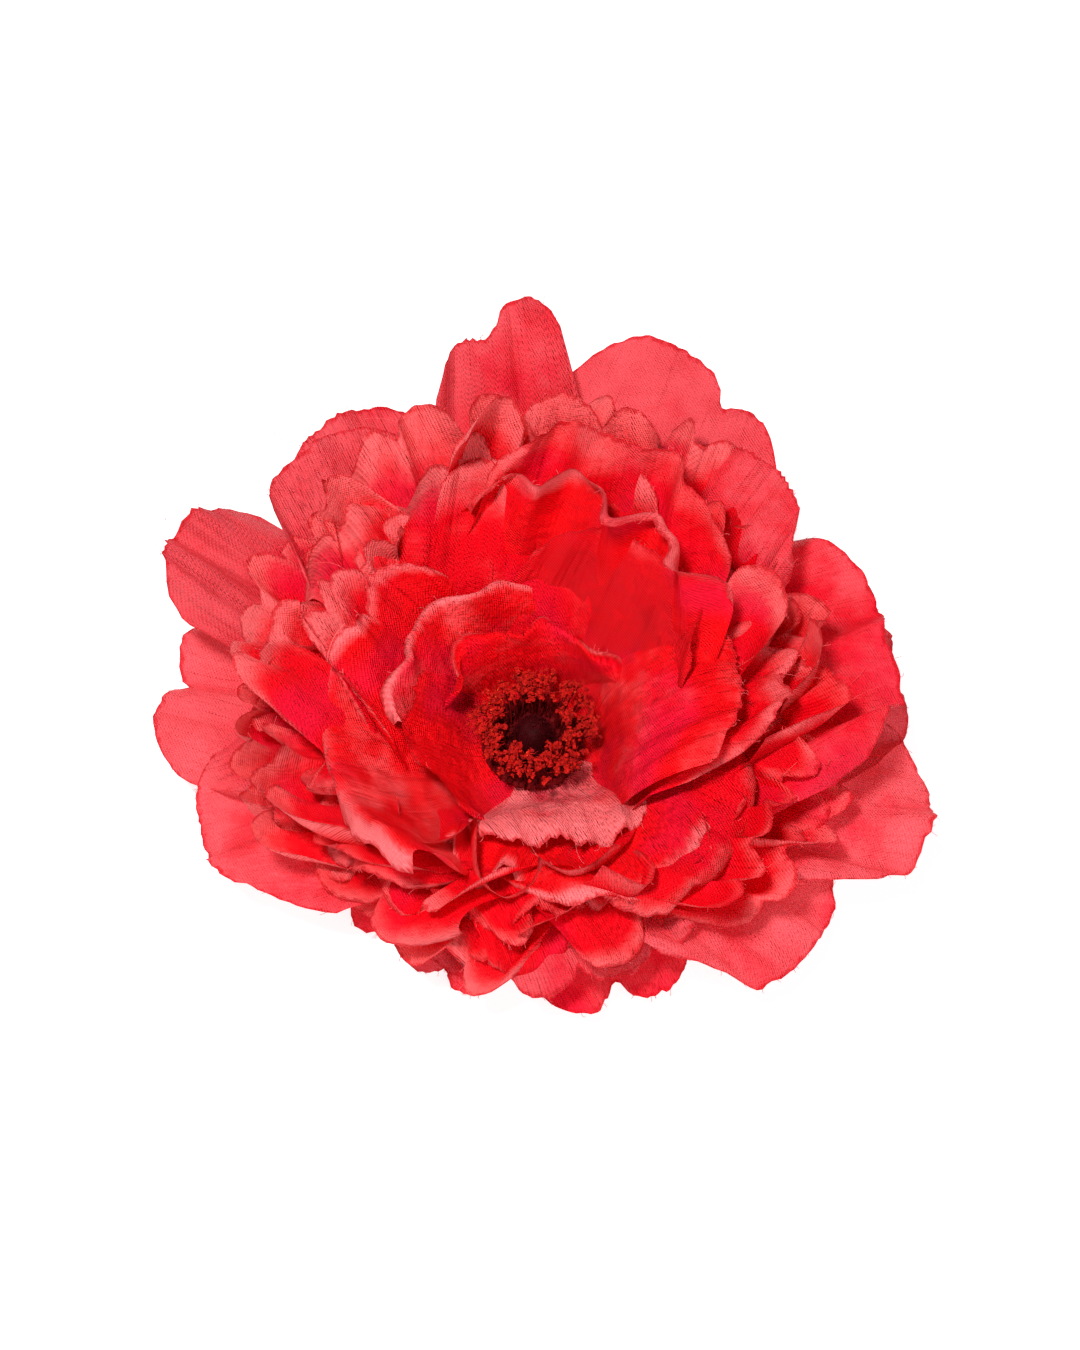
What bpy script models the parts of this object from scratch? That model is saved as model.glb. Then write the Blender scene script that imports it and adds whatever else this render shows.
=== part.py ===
"""A fabric peony on a sprung alligator hair clip, as the separate pieces it is assembled from.

Frame: +Z is the flower's axis, pointing out of the bloom. +X runs along the clip from the jaws to the
press levers, so the jaw tips are at -X. The origin is on the flower's axis, in the flat underside of
the lower arm, which is the face that the clip lies on.

The root body is the flower, its felt backing and the clip's upper arm, glued together. The lower arm
turns about the pivot pin, whose axis runs along Y at (0, 0, PIVOT_Z).
"""

import math

import bmesh
import bpy
from mathutils import Matrix, Vector

MM = 0.001

# Clip, in millimetres
SHEET = 0.8                 # thickness of the stamped steel
ARM_WIDTH = 9.0
ARM_HEIGHT = 10.0           # from the lower arm's underside to the upper arm's top
JAW_X = -34.0               # tips of the jaws
LEVER_X = 26.0              # ends of the press levers
BEND_X = -6.0               # the lower arm's jaw rises from here
JAW_RISE = 5.0              # by this much at its tip
TEETH_X = -23.0             # the toothed flanges run from the tip to here
TOOTH_PITCH = 2.2
TOOTH_HEIGHT = 1.2
PIVOT_Z = 5.0
PIN_RADIUS = 1.0
PIN_HOLE_RADIUS = 1.08
EAR_RADIUS = 2.6
WIRE_RADIUS = 0.45
COIL_RADIUS = 2.0           # to the middle of the wire
COIL_TURNS = 3
COIL_PITCH = 1.2
SPRING_REACH = 14.0         # where the spring's legs bear on the arms
GAP = 0.25                  # between pieces that touch

# Backing, in millimetres
GLUE_THICKNESS = 0.6
FELT_THICKNESS = 1.2
FELT_RADIUS = 24.0
PATCH_LENGTH = 10.0
PATCH_REACH = 12.0          # half of the patch's length across the arm
STEM_RADIUS = 2.6
FLANGE_RADIUS = 8.0
FLANGE_THICKNESS = 1.0

# Bloom, in millimetres and degrees
CLOTH = 0.5                 # solid thickness that stands for one sheet of cloth
LAYER_PITCH = 0.78
SPACER_THICKNESS = 0.7
SPACER_RADIUS = 5.5
HUB_HOLE_RADIUS = 3.0
HUB_BEND = 7.0              # length over which a petal rises out of its flat hub
PETAL_COLUMNS = 6
PROFILE_STEPS = 8
BACK_LIFT = 9.0             # petals on the +Y side stand this much steeper than on the sides
BACK_REACH = 0.16           # and are longer by this share
POD_RADIUS = 4.3
POD_HEIGHT = 8.0

# Each die-cut layer from the table up: name, petals, first petal's azimuth, cut length from the axis,
# radius of the flat hub, slope where the petals leave the hub, slope at their tips, depth of the notches
# between petals as a share of the length, and the share of the back lift that it takes.
LAYERS = [
    ("guard_petals_lower", 5, -60, 59, 19.0, 3, -44, 0.34, 0.64),
    ("guard_petals_middle", 5, -13, 71, 16.8, 16, 3, 0.34, 0.8),
    ("guard_petals_upper", 5, 20, 71, 16.1, 25, 9, 0.34, 1.0),
    ("frill_petals_1", 6, 0, 62, 15.4, 33, 16, 0.26, 1.0),
    ("frill_petals_2", 6, 30, 60, 14.8, 40, 23, 0.26, 1.0),
    ("frill_petals_3", 6, 10, 57, 14.2, 46, 30, 0.26, 1.0),
    ("frill_petals_4", 6, 40, 54, 13.6, 52, 35, 0.26, 1.0),
    ("frill_petals_5", 6, 20, 51, 13.0, 58, 39, 0.26, 1.0),
    ("cup_petals_outer", 5, 90, 49, 12.4, 63, 44, 0.28, 1.0),
    ("cup_petals_middle", 5, 54, 46, 11.8, 67, 49, 0.28, 1.0),
    ("cup_petals_inner", 4, 75, 42, 11.2, 71, 54, 0.28, 1.0),
    ("heart_petals", 4, 30, 36, 10.6, 76, 60, 0.28, 1.0),
]
SPACER_AFTER = (2, 5, 8)    # layers that have a plastic spacer on top of them

COLOURS = {                 # base colour, roughness, metallic
    "satin_guard": ((0.80, 0.10, 0.12), 0.55, 0.0),
    "satin_petal": ((0.78, 0.02, 0.03), 0.50, 0.0),
    "stamen": ((0.42, 0.02, 0.01), 0.85, 0.0),
    "pistil": ((0.13, 0.0, 0.005), 0.45, 0.0),
    "felt": ((0.45, 0.02, 0.03), 0.95, 0.0),
    "plastic": ((0.85, 0.84, 0.80), 0.45, 0.0),
    "glue": ((0.90, 0.88, 0.80), 0.30, 0.0),
    "steel": ((0.62, 0.62, 0.63), 0.28, 1.0),
}


def clear_scene():
    for obj in list(bpy.data.objects):
        bpy.data.objects.remove(obj, do_unlink=True)


def material(name):
    found = bpy.data.materials.get(name)
    if found:
        return found
    colour, roughness, metallic = COLOURS[name]
    made = bpy.data.materials.new(name)
    made.use_nodes = True
    shader = made.node_tree.nodes["Principled BSDF"]
    shader.inputs["Base Color"].default_value = (*colour, 1.0)
    shader.inputs["Roughness"].default_value = roughness
    shader.inputs["Metallic"].default_value = metallic
    return made


def add(name, data, material_name=None):
    obj = bpy.data.objects.new(name, data)
    bpy.context.scene.collection.objects.link(obj)
    if material_name:
        obj.data.materials.append(material(material_name))
    return obj


def smooth(obj, angle=40):
    obj.data.shade_smooth()
    obj.data.set_sharp_from_angle(angle=math.radians(angle))
    return obj


def mesh_object(name, bm, material_name=None):
    bmesh.ops.recalc_face_normals(bm, faces=bm.faces[:])
    mesh = bpy.data.meshes.new(name)
    bm.to_mesh(mesh)
    bm.free()
    return add(name, mesh, material_name)


def prism(name, outline, low, high, axis, material_name=None):
    """A closed outline in millimetres, extruded from low to high along Z (points are x, y), along Y
    (points are x, z) or along X (points are y, z)."""
    place = {
        "Z": lambda a, b: Vector((a, b, low)),
        "Y": lambda a, b: Vector((a, low, b)),
        "X": lambda a, b: Vector((low, a, b)),
    }[axis]
    run = {"Z": Vector((0, 0, 1)), "Y": Vector((0, 1, 0)), "X": Vector((1, 0, 0))}[axis] * (high - low)
    bm = bmesh.new()
    face = bm.faces.new([bm.verts.new(place(a, b) * MM) for a, b in outline])
    side = bmesh.ops.extrude_face_region(bm, geom=[face])
    moved = [item for item in side["geom"] if isinstance(item, bmesh.types.BMVert)]
    bmesh.ops.translate(bm, verts=moved, vec=run * MM)
    return mesh_object(name, bm, material_name)


def turned(name, profile, steps, material_name):
    """A closed profile of (radius, z) points in millimetres, turned about Z. It keeps off the axis,
    except for points of radius 0, which become the poles."""
    bm = bmesh.new()
    points = [bm.verts.new(Vector((r, 0, z)) * MM) for r, z in profile]
    edges = [bm.edges.new((a, b)) for a, b in zip(points, points[1:])]
    if profile[0][0] > 0:
        edges.append(bm.edges.new((points[-1], points[0])))
    bmesh.ops.spin(
        bm, geom=points + edges, cent=(0, 0, 0), axis=(0, 0, 1), angle=math.tau, steps=steps,
        use_merge=True,
    )
    bmesh.ops.remove_doubles(bm, verts=bm.verts[:], dist=0.01 * MM)
    return smooth(mesh_object(name, bm, material_name))


def combine(obj, tool, operation):
    tool.hide_render = True
    tool.display_type = "WIRE"
    modifier = obj.modifiers.new(f"{operation} {tool.name}", "BOOLEAN")
    modifier.operation = operation
    modifier.object = tool


def rounded(x_low, x_high, half_width, radius, steps=4):
    """A rectangle about the X axis with round corners, as (x, y) points."""
    corners = [
        (x_high - radius, half_width - radius, 0),
        (x_low + radius, half_width - radius, 90),
        (x_low + radius, radius - half_width, 180),
        (x_high - radius, radius - half_width, 270),
    ]
    points = []
    for x, y, start in corners:
        for step in range(steps + 1):
            angle = math.radians(start + 90 * step / steps)
            points.append((x + radius * math.cos(angle), y + radius * math.sin(angle)))
    return points


def disc_outline(x, z, radius, start=0, end=360, steps=20):
    closed = end - start == 360
    count = steps if closed else steps + 1
    angles = [math.radians(start + (end - start) * i / steps) for i in range(count)]
    return [(x + radius * math.cos(a), z + radius * math.sin(a)) for a in angles]


# ---------------------------------------------------------------------------------------- the clip

JAW_SLOPE = JAW_RISE / (BEND_X - JAW_X)
UPPER_UNDER = ARM_HEIGHT - SHEET
LOWER_JAW_TOP = SHEET * math.hypot(1, JAW_SLOPE)   # vertical thickness of the sloping jaw


def lower_jaw_z(x):
    """Height of the top of the lower arm's jaw."""
    return (BEND_X - x) * JAW_SLOPE + LOWER_JAW_TOP


def bite_z(x):
    """Height of the line midway between the two jaws, where their teeth meet."""
    return (lower_jaw_z(x) + UPPER_UNDER) / 2


def teeth(offset):
    """The zigzag along the bite, from the tip backwards, moved up by offset."""
    count = round((TEETH_X - JAW_X) / TOOTH_PITCH) * 2
    step = (TEETH_X - JAW_X) / count
    points = []
    for i in range(count + 1):
        x = JAW_X + i * step
        swing = TOOTH_HEIGHT / 2 if i % 2 else -TOOTH_HEIGHT / 2
        points.append((x, bite_z(x) + swing + offset))
    return points


def upper_arm():
    """Flat strip glued under the flower, with toothed flanges at the jaw and ears for the pin."""
    strip = rounded(JAW_X, LEVER_X, ARM_WIDTH / 2, 2.4)
    arm = prism("clip_upper_arm", strip, UPPER_UNDER, ARM_HEIGHT, "Z", "steel")
    root = ARM_HEIGHT - SHEET / 4
    jaw = [(JAW_X + 2.4, root), *[p for p in teeth(GAP / 2) if p[0] > JAW_X + 2.0], (TEETH_X + 1.5, root)]
    ear = [
        (-EAR_RADIUS - 1.2, root),
        *disc_outline(0, PIVOT_Z, EAR_RADIUS, 180, 360, 12),
        (EAR_RADIUS + 1.2, root),
    ]
    outer = ARM_WIDTH / 2 - 0.04
    for side, low in (("left", -outer), ("right", outer - SHEET)):
        combine(arm, prism(f"upper_teeth_{side}", jaw, low, low + SHEET, "Y"), "UNION")
        combine(arm, prism(f"upper_ear_{side}", ear, low, low + SHEET, "Y"), "UNION")
    hole = disc_outline(0, PIVOT_Z, PIN_HOLE_RADIUS)
    combine(arm, prism("upper_pin_hole", hole, -ARM_WIDTH, ARM_WIDTH, "Y"), "DIFFERENCE")


def lower_arm():
    """Bent strip with its own teeth. Its ears stand inside the upper arm's, and its lever lies flat."""
    strip = [
        (LEVER_X, 0),
        (LEVER_X, SHEET),
        (BEND_X, SHEET),
        (JAW_X, lower_jaw_z(JAW_X)),
        (JAW_X, lower_jaw_z(JAW_X) - LOWER_JAW_TOP),
        (BEND_X, 0),
    ]
    inner = ARM_WIDTH / 2 - SHEET - GAP - 0.05
    arm = prism("clip_lower_arm", strip, -ARM_WIDTH / 2, ARM_WIDTH / 2, "Y", "steel")
    tool = prism("lower_plan", rounded(JAW_X, LEVER_X, ARM_WIDTH / 2, 2.4), -SHEET, ARM_HEIGHT, "Z")
    combine(arm, tool, "INTERSECT")
    jaw = [
        (TEETH_X, lower_jaw_z(TEETH_X) - SHEET / 2),
        *[p for p in reversed(teeth(-GAP / 2)) if p[0] > JAW_X + 2.0],
        (JAW_X + 2.4, lower_jaw_z(JAW_X + 2.4) - SHEET / 2),
    ]
    ear = [
        (EAR_RADIUS + 1.6, SHEET / 4),
        (EAR_RADIUS, PIVOT_Z - 1.0),
        *disc_outline(0, PIVOT_Z, EAR_RADIUS, 0, 180, 12),
        (-EAR_RADIUS, PIVOT_Z - 1.0),
        (-EAR_RADIUS - 1.6, SHEET / 4),
    ]
    outer = ARM_WIDTH / 2 - 0.04
    for side, sign in (("left", -1), ("right", 1)):
        edges = sorted((sign * outer, sign * (outer - SHEET)))
        combine(arm, prism(f"lower_teeth_{side}", jaw, *edges, "Y"), "UNION")
        edges = sorted((sign * inner, sign * (inner - SHEET)))
        combine(arm, prism(f"lower_ear_{side}", ear, *edges, "Y"), "UNION")
    hole = disc_outline(0, PIVOT_Z, PIN_HOLE_RADIUS)
    combine(arm, prism("lower_pin_hole", hole, -ARM_WIDTH, ARM_WIDTH, "Y"), "DIFFERENCE")
    hinge = add("jaw_hinge", None)
    hinge.location = (0, 0, PIVOT_Z * MM)
    arm.parent = hinge
    arm.matrix_parent_inverse = Matrix.Translation((0, 0, -PIVOT_Z * MM))


def pivot_pin():
    """Headed pin through both pairs of ears."""
    shank, head, head_radius = ARM_WIDTH / 2 + GAP, 0.6, 1.9
    profile = [
        (0, -shank - head),
        (head_radius, -shank - head),
        (head_radius, -shank),
        (PIN_RADIUS, -shank),
        (PIN_RADIUS, shank),
        (head_radius, shank),
        (head_radius, shank + head),
        (0, shank + head),
    ]
    pin = turned("pivot_pin", profile, 20, "steel")
    pin.rotation_euler = (math.radians(90), 0, 0)
    pin.location = (0, 0, PIVOT_Z * MM)
    return pin


def torsion_spring():
    """Wire coil round the pin, whose two legs push the levers apart."""
    centre = Vector((0, PIVOT_Z))
    bearing = WIRE_RADIUS + GAP
    lower_end = Vector((SPRING_REACH, SHEET + bearing))
    upper_end = Vector((SPRING_REACH, UPPER_UNDER - bearing))

    def tangent_angle(point, side):
        to_point = point - centre
        return math.atan2(to_point.y, to_point.x) + side * math.acos(COIL_RADIUS / to_point.length)

    start = tangent_angle(lower_end, -1)
    turn = -(math.tau - (tangent_angle(upper_end, 1) - start)) - math.tau * COIL_TURNS
    half_width = COIL_PITCH * (COIL_TURNS + 0.5) / 2
    samples = 14 * COIL_TURNS + 7
    points = [(lower_end.x, -half_width, lower_end.y)]
    for i in range(samples + 1):
        share = i / samples
        angle = start + turn * share
        y = half_width * (2 * share - 1)
        x = centre.x + COIL_RADIUS * math.cos(angle)
        points.append((x, y, centre.y + COIL_RADIUS * math.sin(angle)))
    points.append((upper_end.x, half_width, upper_end.y))

    curve = bpy.data.curves.new("torsion_spring", "CURVE")
    curve.dimensions = "3D"
    curve.bevel_depth = WIRE_RADIUS * MM
    curve.bevel_resolution = 2
    curve.use_fill_caps = True
    spline = curve.splines.new("POLY")
    spline.points.add(len(points) - 1)
    for point, place in zip(spline.points, points):
        point.co = (*[value * MM for value in place], 1)
    return add("torsion_spring", curve, "steel")


# ------------------------------------------------------------------------------------- the backing

GLUE_Z = ARM_HEIGHT + GAP
FELT_Z = GLUE_Z + GLUE_THICKNESS + GAP
FLANGE_Z = FELT_Z + FELT_THICKNESS + GAP
BLOOM_Z = FLANGE_Z + FLANGE_THICKNESS + GAP


def backing():
    outline = rounded(JAW_X + 5, LEVER_X - 2, ARM_WIDTH / 2 - 0.8, 2.0)
    prism("glue_pad", outline, GLUE_Z, GLUE_Z + GLUE_THICKNESS, "Z", "glue")
    disc = disc_outline(0, 0, FELT_RADIUS, steps=48)
    prism("felt_disc", disc, FELT_Z, FELT_Z + FELT_THICKNESS, "Z", "felt")

    top, thick = FELT_Z - GAP, 1.0
    dip = UPPER_UNDER - GAP
    edge, slope = ARM_WIDTH / 2 + 0.6, 1.4
    upper = [(-PATCH_REACH, top), (-edge - slope, top), (-edge, dip), (edge, dip), (edge + slope, top),
             (PATCH_REACH, top)]
    lower = [(y, z - thick) for y, z in reversed(upper)]
    patch_x = BEND_X - 4
    prism("felt_lock_patch", upper + lower, patch_x - PATCH_LENGTH, patch_x, "X", "felt")


# --------------------------------------------------------------------------------------- the bloom

def profile_points(length, reach, hub, leave, tip):
    """(radius, height) points from the hub's hole along one line of a layer. The line is cut to reach,
    a share of the petals' length, and its slope goes from flat, through leave, to tip."""
    end = length * reach
    stops = [HUB_HOLE_RADIUS, hub - HUB_BEND / 2, hub, hub + HUB_BEND / 2]
    stops += [stops[-1] + (end - stops[-1]) * share for share in (0.5, 1)]
    points = [(HUB_HOLE_RADIUS, 0.0)]
    for start, stop in zip(stops, stops[1:]):
        r, z = points[-1]
        for i in range(PROFILE_STEPS):
            s = start + (i + 0.5) * (stop - start) / PROFILE_STEPS
            rise = min(max((s - hub + HUB_BEND / 2) / HUB_BEND, 0), 1)
            along = max(s - hub, 0) / (length - hub)
            slope = math.radians(rise * (leave + (tip - leave) * along))
            r += math.cos(slope) * (stop - start) / PROFILE_STEPS
            z += math.sin(slope) * (stop - start) / PROFILE_STEPS
        points.append((r, z))
    return points


def petal_layer(name, petals, azimuth, length, hub, leave, tip, notch, lift_share, z, material_name):
    """One die-cut layer: a round hub with a hole, and petals that rise from it as a scalloped bowl."""
    columns = petals * PETAL_COLUMNS
    bm = bmesh.new()
    grid = []
    for i in range(columns):
        turn = math.tau * i / columns
        lobe = abs(math.cos(petals * turn / 2)) ** 0.7
        turn += math.radians(azimuth)
        back = math.sin(turn)
        lift = BACK_LIFT * back * lift_share
        line = profile_points(
            length * (1 + BACK_REACH * back), 1 - notch * (1 - lobe), hub, leave + lift, tip + lift
        )
        place = [Vector((r * math.cos(turn), r * math.sin(turn), z + h)) * MM for r, h in line]
        grid.append([bm.verts.new(point) for point in place])
    for i in range(columns):
        here, there = grid[i], grid[(i + 1) % columns]
        for j in range(len(here) - 1):
            bm.faces.new((here[j], here[j + 1], there[j + 1], there[j]))
    bm.normal_update()
    mesh = bpy.data.meshes.new(name)
    bm.to_mesh(mesh)
    bm.free()
    layer = add(name, mesh, material_name)
    cloth = layer.modifiers.new("cloth", "SOLIDIFY")
    cloth.thickness = CLOTH * MM
    cloth.offset = 1
    return smooth(layer)


def bloom():
    """Stacks the layers and their spacers up the stem. Returns the height of the top of the stack."""
    z = BLOOM_Z
    spacers = 0
    for i, (name, *shape) in enumerate(LAYERS):
        satin = "satin_guard" if name.startswith("guard") else "satin_petal"
        petal_layer(name, *shape, z, satin)
        z += LAYER_PITCH
        if i in SPACER_AFTER:
            spacers += 1
            ring(f"petal_spacer_{spacers}", STEM_RADIUS + GAP, SPACER_RADIUS, z, SPACER_THICKNESS, "plastic")
            z += SPACER_THICKNESS + GAP
    return z


def ring(name, inner, outer, z, thickness, material_name):
    profile = [(inner, z), (outer, z), (outer, z + thickness), (inner, z + thickness)]
    return turned(name, profile, 28, material_name)


def stem(top):
    """Plastic plug: a flange under the layers and a tube up through their holes."""
    profile = [
        (0, FLANGE_Z),
        (FLANGE_RADIUS, FLANGE_Z),
        (FLANGE_RADIUS, FLANGE_Z + FLANGE_THICKNESS),
        (STEM_RADIUS, FLANGE_Z + FLANGE_THICKNESS),
        (STEM_RADIUS, top),
        (0, top),
    ]
    turned("stem_plug", profile, 28, "plastic")


def flared(name, base_radius, top_radius, z, height, wall, material_name):
    """A ring wall that opens outwards, the outer shape of one round of stamens."""
    profile = [
        (base_radius, z),
        (base_radius + wall * 0.5, z),
        (base_radius + wall * 0.6 + (top_radius - base_radius) * 0.45, z + height * 0.5),
        (top_radius + wall, z + height * 0.85),
        (top_radius + wall * 0.6, z + height),
        (top_radius, z + height * 0.95),
        (base_radius + (top_radius - base_radius) * 0.45, z + height * 0.5),
    ]
    return turned(name, profile, 28, material_name)


def heart(z):
    """The stamens' plastic seat on top of the stem, the seed pod, and two rounds of stamens."""
    seat = 0.8
    turned("stamen_seat", [(0, z), (7.6, z), (7.6, z + seat), (0, z + seat)], 28, "plastic")
    base = z + seat + GAP
    profile = [(0, base)]
    for i in range(9):
        angle = math.radians(-58 + 148 * i / 8)
        profile.append((POD_RADIUS * math.cos(angle), base + POD_HEIGHT * (0.46 + 0.54 * math.sin(angle))))
    profile[1] = (profile[1][0], base)
    profile[-1] = (0, base + POD_HEIGHT)
    turned("seed_pod", profile, 24, "pistil")
    flared("stamens_inner", 4.7, 6.6, base, 9.0, 1.6, "stamen")
    flared("stamens_outer", 5.9, 9.2, base, 8.4, 1.8, "stamen")


def main():
    clear_scene()
    upper_arm()
    lower_arm()
    pivot_pin()
    torsion_spring()
    backing()
    top = bloom()
    stem(top - GAP)
    heart(top)


main()
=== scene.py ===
"""The looks of the fabric peony hair clip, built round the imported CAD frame.

Every petal is a flat cut piece of satin, x across and y from the flower's axis to the tip, which is
bent along a curved midline that rises from its layer's hub. Lengths are in millimetres and angles in
degrees unless a name says otherwise; meshes are turned into metres when they are made.
"""

from math import acos, atan2, copysign, cos, exp, hypot, pi, radians, sin, sqrt, tan, tau
from types import SimpleNamespace

import bmesh
import bpy
import numpy as np
from mathutils import Matrix, Vector
from numpy.linalg import norm


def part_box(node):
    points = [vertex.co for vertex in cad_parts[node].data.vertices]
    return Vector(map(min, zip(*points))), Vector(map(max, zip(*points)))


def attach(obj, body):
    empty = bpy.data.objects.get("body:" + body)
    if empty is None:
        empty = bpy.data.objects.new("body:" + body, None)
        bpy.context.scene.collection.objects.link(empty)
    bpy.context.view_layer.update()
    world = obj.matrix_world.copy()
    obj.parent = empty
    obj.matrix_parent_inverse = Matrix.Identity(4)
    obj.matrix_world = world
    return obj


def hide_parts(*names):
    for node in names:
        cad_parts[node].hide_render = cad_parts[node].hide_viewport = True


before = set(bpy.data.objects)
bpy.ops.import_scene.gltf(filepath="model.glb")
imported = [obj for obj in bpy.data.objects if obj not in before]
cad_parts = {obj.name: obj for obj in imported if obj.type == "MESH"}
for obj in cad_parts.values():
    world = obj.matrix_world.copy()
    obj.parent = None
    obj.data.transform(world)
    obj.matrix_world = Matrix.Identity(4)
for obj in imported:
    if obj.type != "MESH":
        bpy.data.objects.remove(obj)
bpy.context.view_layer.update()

SCENE = bpy.context.scene
MM = 0.001
FLOWER, JAW = "flower", "lower_jaw"

# ---- places in the frame

def low(node):
    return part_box(node)[0] / MM


def high(node):
    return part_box(node)[1] / MM


FELT_TOP = high("felt_disc").z
HUB_EASE = 3.5          # a midline starts to climb this far inside its hub's edge
STEM_RADIUS = 3.2       # where each layer's cloth begins, round the stem
PETAL_STEP = 0.12       # how much higher each petal of a layer lies than the last
COLUMN_STEP = 0.8       # about how far apart the points of a petal are, across it
ROW_STEP = 1.15         # and along it

# ---- small helpers

def add_object(name, data):
    made = bpy.data.objects.new(name, data)
    SCENE.collection.objects.link(made)
    return made


def add_values(mesh, name, values):
    """One number for each point of a mesh, which its material reads."""
    attribute = mesh.attributes.new(name, "FLOAT", "POINT")
    attribute.data.foreach_set("value", np.asarray(values, np.float32))


def smooth_step(low_edge, high_edge, value):
    share = np.clip((value - low_edge) / (high_edge - low_edge), 0, 1)
    return share * share * (3 - 2 * share)


def wave_noise(rng, position, waves, low_count, high_count):
    """Smooth noise in -1..1: a sum of sines whose counts per unit lie between two limits."""
    total = np.zeros_like(position)
    for _ in range(waves):
        count = rng.uniform(low_count, high_count)
        total += np.sin(tau * (count * position + rng.uniform())) / sqrt(waves)
    return total * 0.8


# ---- petals

PETAL = {
    "az": 0.0,          # azimuth of the petal's middle
    "r": 60.0,          # distance of the tip from the flower's axis
    "z": 20.0,          # height of the tip over the table
    "width": 44.0,      # widest part of the flat petal
    "hub": 14.0,        # radius at which the petal leaves its layer's flat hub
    "bend": 20.0,       # fall of the midline's slope from hub to tip (negative: it rises)
    "lobes": ((0.0, 1.0, 0.0),),   # (middle, half width, how much shorter) of each arch of the edge
    "notch": 5.0,       # depth of an arch, from its top to its two feet
    "corner": 13.0,     # how far the edge falls back at the petal's two corners
    "waist": 0.62,      # share of the length at which the petal is widest
    "tip_width": 0.92,  # width at the tip as a share of the widest
    "cup": 18.0,        # how far the sides turn up, in degrees at the edge
    "spoon": 1.0,       # depth of the hollow pressed into each lobe
    "stagger": 0.0,     # how far neighbouring lobes stand before and behind each other
    "twist": 0.0,       # most that a lobe turns about its own middle line
    "ruffle": 1.6,      # height of the waves along the outer edge
    "waves": 2.2,       # how many of them
    "curl": 10.0,       # outward turn of the last stretch before the edge (negative: inward)
    "curl_from": 0.74,  # share of the length where that begins
    "curl_to": 1.04,    # and where it is complete: below 1 the rim is a flat band
    "curl_vary": 14.0,  # how much that differs along the edge and from lobe to lobe
    "side_curl": 10.0,  # outward turn of the two side edges
    "ragged": 0.25,     # height of the small teeth on the cut edge
    "roll": 0.0,        # turn about the petal's own middle line
    "tone": 0.0,        # painted shade: 0 gives the lit coral of the outer petals, 1 the shaded deep red of the heart
    "dull": 0.0,        # painted shade over the whole petal, for petals that lie in shade
    "rim": 1.0,         # over 1 the painted lit rim is wider, under 1 it fades out before the edge
}


def midline(spec, hub_z):
    """The curve from (hub, hub_z) to (r, z): its length, and its slopes in radians at the two ends."""
    run, rise = spec.r - spec.hub, spec.z - hub_z
    chord, slope = hypot(run, rise), atan2(rise, run)
    half = radians(spec.bend) / 2
    length = chord * (half / sin(half) if abs(half) > 1e-3 else 1)
    return length, slope + half, slope - half


def outer_edge(spec, u):
    """How far the cut edge falls short of the petal's full length, and each lobe's share of the petal,
    at each place across."""
    falls = []
    for middle, half, shorter in spec.lobes:
        offset = np.abs(u - middle) / half
        arch = 1 - np.sqrt(np.maximum(1 - offset**2, 0)) + 1.5 * np.maximum(offset - 1, 0)
        falls.append(shorter + spec.notch * arch)
    falls = np.array(falls)
    share = np.exp(-(falls - falls.min(axis=0)) / 1.2)
    return falls.min(axis=0) + spec.corner * np.abs(u) ** 3.4, share / share.sum(axis=0)


def half_width(spec, v):
    """Half the petal's width at each share of its length."""
    widest, base = spec.width / 2, spec.base_width / 2
    rise = np.sin(np.clip(v / spec.waist, 0, 1) * pi / 2) ** 1.15
    fall = smooth_step(spec.waist, 1.25, v)
    return (base + (widest - base) * rise) * (1 - (1 - spec.tip_width) * fall * 1.6)


def run_along(step, slope):
    """Positions, along and up, of a line that takes these steps at these slopes, row by row."""
    middle = (slope[1:] + slope[:-1]) / 2
    start = np.zeros((1, slope.shape[1]))
    along = np.vstack([start, np.cumsum(step * np.cos(middle), axis=0)])
    up = np.vstack([start, np.cumsum(step * np.sin(middle), axis=0)])
    return along, up


def across(spec, u, v, flat_x, rng):
    """The bowed cross-section: sideways and upward place of each point, and the turn there."""
    rising = smooth_step(0.12, 0.75, v)
    turn = radians(spec.cup) * u * rising
    rim = smooth_step(0.55, 1.0, np.abs(u)) * smooth_step(0.35, 0.9, v)
    turn = turn - radians(spec.side_curl) * np.sign(u) * rim
    turn = turn + radians(9) * wave_noise(rng, u, 2, 0.2, 0.7) * rising
    side, lift = run_along(np.diff(flat_x.T, axis=0), turn.T)
    centre = len(u) // 2
    return (side - side[centre]).T, (lift - lift[centre]).T, turn


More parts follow.
